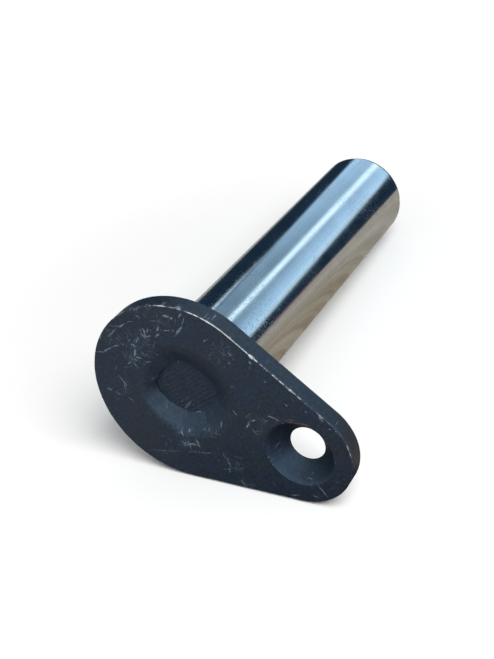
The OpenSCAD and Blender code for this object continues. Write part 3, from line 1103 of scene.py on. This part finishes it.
def add_floor(studio):
    """A pale floor that keeps the object's shadow, but for a painted pool of light behind the plate that
    shows through the bolt's hole.
    """
    floor = add_square("floor", FLOOR_HALF, 0.0)
    material = bpy.data.materials.new("pale floor")
    material.use_nodes = True
    tree = material.node_tree
    tree.nodes.clear()
    seen = seen_flags(tree)
    tone = blend_colour(tree, seen, studio.floor_bounce, studio.floor)
    place = object_place(tree)
    away = add(tree, "ShaderNodeVectorMath", {0: place}, operation="LENGTH").outputs["Value"]
    own = ramp(tree, away, 0.09, 0.42, studio.floor_glow, studio.far_glow)
    # Painted pool of light: the floor glows more where it shows through the bolt's hole, lifting the plate's
    # shadow there
    off = add(tree, "ShaderNodeVectorMath", {0: place, 1: HOLE_LIGHT_SPOT}, operation="DISTANCE")
    own = larger(tree, own, ramp(tree, off.outputs["Value"], 0.005, 0.022, 0.13, 0.0))
    diffuse = add(tree, "ShaderNodeBsdfDiffuse", {"Color": tone})
    glow = add(tree, "ShaderNodeEmission", {"Color": WHITE, "Strength": times(tree, seen, own)})
    both = add(tree, "ShaderNodeAddShader", {0: diffuse.outputs[0], 1: glow.outputs[0]})
    out = tree.nodes.new("ShaderNodeOutputMaterial")
    tree.links.new(both.outputs[0], out.inputs["Surface"])
    floor.data.materials.append(material)
    floor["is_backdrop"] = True


def only_mirrored(card):
    """The card shows in reflections alone, and neither lights nor shades anything."""
    card.visible_camera = False
    card.visible_diffuse = False
    card.visible_transmission = False
    card.visible_volume_scatter = False
    card.visible_shadow = False
    card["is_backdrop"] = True


def card_material(name):
    """An empty glowing material: its tree and its emission node."""
    material = bpy.data.materials.new(name)
    material.use_nodes = True
    tree = material.node_tree
    tree.nodes.clear()
    glow = tree.nodes.new("ShaderNodeEmission")
    out = tree.nodes.new("ShaderNodeOutputMaterial")
    tree.links.new(glow.outputs[0], out.inputs["Surface"])
    return material, tree, glow


def add_bench_card(studio):
    """The board that the steel mirrors, with dark ground beyond its far edge."""
    card = add_square("bench_card", FLOOR_HALF, CARD_HEIGHT)
    material, tree, glow = card_material("mirrored bench")
    place = object_place(tree)
    parts = split(tree, place)
    across = parts["X"]
    away = parts["Y"]
    long = stretched(tree, place, (5.0, 70.0, 1.0), (0.0, 0.0, math.radians(4)))
    grain = ramp(tree, noise(tree, long, 1.0, 5.0, 0.62), 0.36, 0.64)
    wood = blend_colour(tree, grain, studio.bench_dark, studio.bench_light)
    wood = blend_colour(tree, ramp(tree, away, 0.03, 0.10, 0.0, 0.5), wood, studio.bench_far)
    wood = blend_colour(tree, ramp(tree, across, -0.06, -0.02, 1.0, 0.0), wood, studio.bench_side)
    # Beside and under the shaft the mirrored bench is darker: a painted contact shadow, as the card takes no
    # shadows
    beside = away_from(tree, across, ORIGIN.x)
    wood = scaled(tree, wood, ramp(tree, beside, 0.0, 0.05, 0.66, 1.0))

    # In front of the plate the mirrored bench has painted shade, darkest on the right, and open ground lies
    # towards the viewer
    near = ramp(tree, away, ORIGIN.y + 0.012, ORIGIN.y + 0.022, 1.0, 0.0)
    deepest_painted_shade = ramp(tree, across, -0.08, 0.03, 0.95, 0.0)
    shade = ramp(tree, away, ORIGIN.y - 0.085, ORIGIN.y - 0.02, 1.0, deepest_painted_shade)
    front = scaled(tree, studio.bench_near, shade)
    open_ground = times(tree, ramp(tree, away, -0.34, -0.14, 0.7, 0.0), ramp(tree, across, -0.09, -0.03))
    front = blend_colour(tree, open_ground, front, studio.open_ground)
    wood = blend_colour(tree, near, wood, front)

    # On the left the far edge runs askew
    slant = times(tree, math_node(tree, "MINIMUM", across, 0.0), 0.6)
    slant = plus(tree, slant, ramp(tree, across, -0.05, 0.0, 0.062, 0.0))
    edge = minus(tree, away, slant)
    # On the right it runs away from the viewer
    flare = larger(tree, minus(tree, across, BENCH_BEND), 0.0)
    edge = math_node(tree, "MULTIPLY_ADD", flare, -0.93, edge)
    band = times(tree, ramp(tree, edge, BENCH_EDGE - 0.07, BENCH_EDGE), ramp(tree, across, BENCH_BEND, 0.25))
    beyond = ramp(tree, edge, BENCH_EDGE + 0.012, BENCH_EDGE + 0.020)
    wood = blend_colour(tree, band, wood, studio.bench_edge)
    tree.links.new(blend_colour(tree, beyond, wood, studio.dusk), glow.inputs["Color"])
    card.data.materials.append(material)
    only_mirrored(card)


def sky_ahead(tree, parts, studio):
    """The sky beyond the pin: its colour, and where it is open above the dark surround."""
    azimuth = math_node(tree, "ARCTAN2", parts["X"], parts["Y"])
    height = parts["Z"]
    right = angle_ramp(tree, azimuth, -26.8, -22.8)
    # Behind the viewer the sky is open again
    behind = angle_ramp(tree, azimuth, -95, -75, 1.0, 0.0)
    open_sky = times(tree, ramp(tree, height, 0.140, 0.215), larger(tree, right, behind))
    level = times(tree, ramp(tree, height, 0.18, 0.40, 1.32, 0.98), ramp(tree, height, 0.36, 0.60, 1.0, 0.40))
    duller = times(tree, angle_ramp(tree, azimuth, -24, -9, 0.15, 0.0), ramp(tree, height, 0.27, 0.36))
    level = times(tree, level, minus(tree, 1.0, duller))

    # A pale gap and a dark post stand high up at the left edge
    high = ramp(tree, height, 0.40, 0.44)
    off_gap = away_from(tree, azimuth, math.radians(-27.8))
    gap = times(tree, angle_ramp(tree, off_gap, 1.6, 2.8, 1.0, 0.0), high)
    off_post = away_from(tree, azimuth, math.radians(-23.5))
    post = times(tree, angle_ramp(tree, off_post, 0.8, 2.4, 0.45, 0.0), high)
    colour = scaled(tree, studio.sky, times(tree, level, minus(tree, 1.0, post)))
    hazy = times(tree, ramp(tree, height, 0.20, 0.33, 0.8, 0.0), angle_ramp(tree, azimuth, 20, 26))
    colour = blend_colour(tree, hazy, colour, studio.horizon)

    # The bright strip leans a little
    middle = math_node(tree, "MULTIPLY_ADD", height, math.radians(16.7), math.radians(-1.1))
    strip = angle_ramp(tree, away_from(tree, azimuth, middle), 0.6, 7.8, 1.0, 0.0)
    colour = blend_colour(tree, strip, colour, studio.streak)
    return blend_colour(tree, gap, colour, studio.horizon), larger(tree, open_sky, gap)


def sky_behind(tree, parts, studio):
    """The sky that the weld's dish mirrors from behind the viewer: its colour, and where it shows."""
    # Angle from straight behind the viewer, positive to the left
    turn = math_node(tree, "ARCTAN2", times(tree, parts["X"], -1.0), times(tree, parts["Y"], -1.0))
    lowest = angle_ramp(tree, turn, -10, 30, -0.12, 0.16)
    shown = times(tree, angle_ramp(tree, turn, -105, -85), angle_ramp(tree, turn, 15, 60, 1.0, 0.35))
    shown = times(tree, shown, angle_ramp(tree, turn, 85, 105, 1.0, 0.0))
    shown = times(tree, shown, ramp(tree, minus(tree, parts["Z"], lowest), 0.0, 0.42))
    # High up and to the left of the viewer's back it is paler
    pale = times(tree, angle_ramp(tree, turn, -20, 5, 0.0, 0.85), ramp(tree, parts["Z"], 0.42, 0.56))
    return blend_colour(tree, pale, studio.back_sky, studio.horizon), shown


def add_sky_card(studio):
    """A dome that the steel and the dish mirror: a dark surround low down, and bright sky above it."""
    mesh = bpy.data.meshes.new("sky_card")
    work = bmesh.new()
    bmesh.ops.create_icosphere(work, subdivisions=4, radius=SKY_RADIUS)
    work.to_mesh(mesh)
    work.free()
    card = link_object("sky_card", mesh)
    material, tree, glow = card_material("mirrored sky")
    way = add(tree, "ShaderNodeVectorMath", {0: object_place(tree)}, operation="NORMALIZE").outputs[0]
    parts = split(tree, way)
    ahead, open_sky = sky_ahead(tree, parts, studio)
    back, shown = sky_behind(tree, parts, studio)
    bright = blend_colour(tree, shown, ahead, back)
    open_sky = larger(tree, open_sky, shown)
    tree.links.new(blend_colour(tree, open_sky, studio.dusk, bright), glow.inputs["Color"])
    card.data.materials.append(material)
    only_mirrored(card)


def add_world(studio):
    """Even white light from all round, and a white background."""
    world = bpy.data.worlds.new("studio")
    bpy.context.scene.world = world
    world.use_nodes = True
    tree = world.node_tree
    tree.nodes.clear()
    ambient = add(tree, "ShaderNodeBackground", {"Color": AMBIENT_COLOUR, "Strength": studio.ambient})
    white = add(tree, "ShaderNodeBackground", {"Color": WHITE, "Strength": 1.0})
    mixed = add(tree, "ShaderNodeMixShader",
                {0: seen_flags(tree), 1: ambient.outputs[0], 2: white.outputs[0]})
    out = tree.nodes.new("ShaderNodeOutputWorld")
    tree.links.new(mixed.outputs[0], out.inputs["Surface"])


def add_key(studio):
    """One broad soft lamp above the object, to its right and a little in front."""
    data = bpy.data.lights.new("key", "AREA")
    data.shape = "DISK"
    data.size = KEY_WIDTH
    data.energy = studio.key
    data.color = KEY_COLOUR
    lamp = link_object("key", data)
    facing = (KEY_PLACE - KEY_AIM).to_track_quat("Z", "Y").to_matrix().to_4x4()
    lamp.matrix_world = Matrix.Translation(KEY_PLACE) @ facing
    lamp.visible_camera = False
    lamp.visible_glossy = False


class FLAGPIN_OT_stage(bpy.types.Operator):
    """Adds the floor, the mirrored surroundings, the lights and the camera"""
    bl_idname = "flagpin.stage"
    bl_label = "Studio"

    def execute(self, context):
        studio = context.scene.flag_pin_studio
        add_camera()
        add_world(studio)
        add_floor(studio)
        add_bench_card(studio)
        add_sky_card(studio)
        add_key(studio)
        context.scene.view_settings.view_transform = "Standard"
        return {"FINISHED"}


class FLAGPIN_PT_pieces(bpy.types.Panel):
    """Lists the pin's pieces and its studio"""
    bl_idname = "FLAGPIN_PT_pieces"
    bl_label = "Flag Pin"
    bl_space_type = "VIEW_3D"
    bl_region_type = "UI"
    bl_category = "Flag Pin"

    def draw(self, context):
        for name in ("flag_pin_shape", "flag_pin_finish", "flag_pin_studio"):
            group = getattr(context.scene, name)
            box = self.layout.box()
            for label in group.bl_rna.properties.keys():
                if label not in ("rna_type", "name"):
                    box.prop(group, label)
        for piece in ("shaft", "plate", "weld", "stage"):
            self.layout.operator("flagpin." + piece)


CLASSES = (FlagPinShape, FlagPinFinish, FlagPinStudio, FLAGPIN_OT_shaft, FLAGPIN_OT_plate,
           FLAGPIN_OT_weld, FLAGPIN_OT_stage, FLAGPIN_PT_pieces)


def register():
    for item in CLASSES:
        bpy.utils.register_class(item)
    bpy.types.Scene.flag_pin_shape = PointerProperty(type=FlagPinShape)
    bpy.types.Scene.flag_pin_finish = PointerProperty(type=FlagPinFinish)
    bpy.types.Scene.flag_pin_studio = PointerProperty(type=FlagPinStudio)


def unregister():
    del bpy.types.Scene.flag_pin_studio
    del bpy.types.Scene.flag_pin_finish
    del bpy.types.Scene.flag_pin_shape
    for item in reversed(CLASSES):
        bpy.utils.unregister_class(item)


def main():
    register()
    build_coating_group()
    build_scratch_group()
    build_wear_group()
    build_stroke_group()
    build_rubbed_group()
    build_marks_group("scuffs", SCUFFS)
    build_marks_group("rim marks", RIM_MARKS)
    build_marks_group("edge chips", EDGE_CHIPS)
    bpy.ops.flagpin.stage()
    bpy.ops.flagpin.shaft()
    bpy.ops.flagpin.plate()
    bpy.ops.flagpin.weld()
    boxes = {"cad": CAD_BOX, "visual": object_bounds()}
    {k: [list(corner) for corner in v] for k, v in boxes.items()}


if __name__ == "__main__":
    main()
